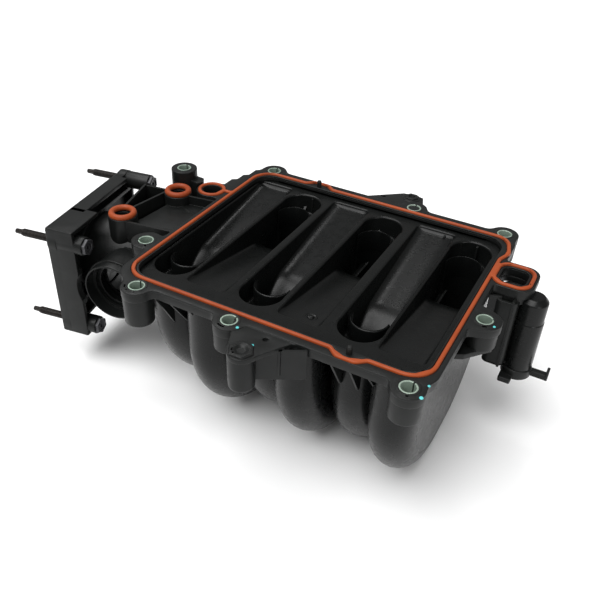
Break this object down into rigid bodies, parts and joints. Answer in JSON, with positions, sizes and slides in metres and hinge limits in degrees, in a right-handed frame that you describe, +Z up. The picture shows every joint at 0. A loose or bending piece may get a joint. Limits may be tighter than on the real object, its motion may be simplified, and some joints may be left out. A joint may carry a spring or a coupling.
{
  "type": "intake manifold",
  "caption": "Moulded engine intake manifold lying with its gasket face up: open plenum with runner pockets, curved runners, upright throttle flange with studs, breather valve well and seals.",
  "frame": {"origin": "middle of the bounding box at the bottoms of the runners", "axes": "+X along the row of runners, from the throttle flange to the breather valve; +Y across the engine; +Z up, out of the gasket face"},
  "size_m": [0.531, 0.3308, 0.1727],
  "materials": {
    "nylon_black": "glass-filled nylon, near black, soft satin sheen",
    "seal_silicone": "burnt orange moulded silicone, satin",
    "limiter_zinc": "rolled steel, pale zinc plating",
    "stud_black_steel": "black phosphated steel, slightly oily",
    "valve_steel": "bright turned steel"
  },
  "bodies": {
    "manifold": {"breather_duct": "nylon_black", "coolant_seal_far": "seal_silicone", "coolant_seal_near": "seal_silicone", "coolant_wing": "nylon_black", "dowel_back": "nylon_black", "dowel_front": "nylon_black", "gasket_flange": "nylon_black", "intake_duct": "nylon_black", "limiter_back_left": "limiter_zinc", "limiter_back_mid": "limiter_zinc", "limiter_back_right": "limiter_zinc", "limiter_front_left": "limiter_zinc", "limiter_front_mid": "limiter_zinc", "limiter_front_right": "limiter_zinc", "limiter_side_left": "limiter_zinc", "limiter_side_right": "limiter_zinc", "limiter_tall": "limiter_zinc", "perimeter_seal": "seal_silicone", "plenum_floor": "nylon_black", "runner_shell_1": "nylon_black", "runner_shell_2": "nylon_black", "runner_shell_3": "nylon_black", "runner_shell_4": "nylon_black", "runner_shell_5": "nylon_black", "runner_shell_6": "nylon_black", "stud_socket_back": "stud_black_steel", "stud_socket_front": "stud_black_steel", "stud_socket_low": "stud_black_steel", "throttle_flange": "nylon_black", "throttle_stud_back": "stud_black_steel", "throttle_stud_front": "stud_black_steel", "throttle_stud_low": "stud_black_steel", "valve_body": "valve_steel", "valve_seal": "seal_silicone", "valve_spring": "valve_steel", "valve_well": "nylon_black", "well_spring": "valve_steel"},
    "cap": {"valve_cap": "nylon_black", "valve_cap_seal": "seal_silicone"},
    "pintle": {"valve_pintle": "valve_steel"}
  },
  "joints": [
    {"name": "valve_cap_twist", "type": "hinge", "parent": "manifold", "child": "cap", "pos_m": [0.23554, 0.05295, 0.0705], "axis": [0, 0, 1], "range_deg": [0, 75]},
    {"name": "valve_pintle_slide", "type": "slide", "parent": "manifold", "child": "pintle", "axis": [0, 0, 1], "range_m": [0, 0.003], "stiffness_N_per_m": 100, "springref_m": -0.002, "deforming": ["valve_spring"]}
  ]
}
